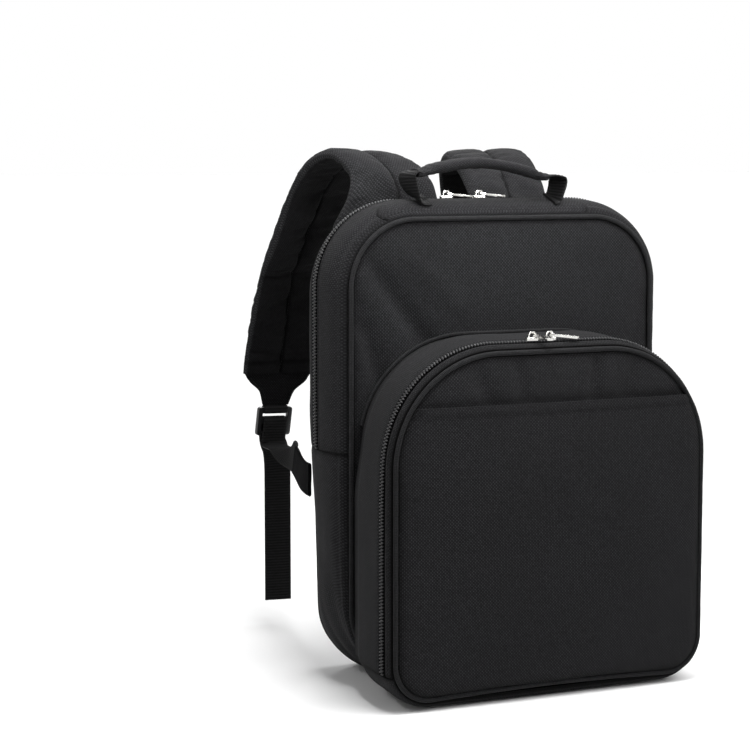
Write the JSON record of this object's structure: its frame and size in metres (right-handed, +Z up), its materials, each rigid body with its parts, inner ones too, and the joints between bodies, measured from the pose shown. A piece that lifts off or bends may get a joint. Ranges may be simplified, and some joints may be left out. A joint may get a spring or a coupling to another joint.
{
  "type": "picnic backpack",
  "caption": "Soft zipped backpack with a rounded main body, a large zipped front pocket with an open slip pocket, a padded carry handle and padded shoulder straps with ladder buckles.",
  "frame": {"origin": "middle of the main body's flat bottom, on the surface that the backpack stands on", "axes": "+Z up, -Y out of the front with the pocket, +Y behind the padded back, +X to the right seen from the front"},
  "size_m": [0.3292, 0.3505, 0.4421],
  "materials": {
    "cloth": "matt woven polyester, near black",
    "padded_cloth": "padded woven polyester, near black",
    "webbing": "ribbed webbing, black",
    "zipper": "woven zip tape with a nylon coil, black",
    "nickel": "bright nickel plate",
    "plastic": "moulded plastic, black, slight gloss"
  },
  "bodies": {
    "root": {"main_front_panel": "cloth", "main_back_panel": "padded_cloth", "main_front_piping": "cloth", "main_back_piping": "cloth", "main_gusset_upper_front": "cloth", "main_gusset_upper_back": "cloth", "main_gusset_lower": "cloth", "main_zipper": "zipper", "main_zip_slider_left": "nickel", "main_zip_slider_right": "nickel", "main_zip_pull_left": "nickel", "main_zip_pull_right": "nickel", "pocket_front_panel": "cloth", "pocket_slip_panel": "cloth", "pocket_front_piping": "cloth", "pocket_gusset_front": "cloth", "pocket_gusset_rear": "cloth", "pocket_gusset_bottom": "cloth", "pocket_zipper": "zipper", "pocket_zip_slider_left": "nickel", "pocket_zip_slider_right": "nickel", "pocket_zip_pull_left": "nickel", "pocket_zip_pull_right": "nickel", "pocket_rear_welt": "cloth", "handle_base_strip": "cloth", "handle_webbing_left": "webbing", "handle_webbing_right": "webbing", "handle_grip": "padded_cloth", "strap_pad_left": "padded_cloth", "strap_pad_right": "padded_cloth", "strap_end_tab_left": "padded_cloth", "strap_end_tab_right": "padded_cloth", "strap_loop_left": "webbing", "strap_loop_right": "webbing", "strap_buckle_left": "plastic", "strap_buckle_right": "plastic", "strap_webbing_left": "webbing", "strap_webbing_right": "webbing", "strap_wing_left": "cloth", "strap_wing_right": "cloth"}
  },
  "joints": []
}
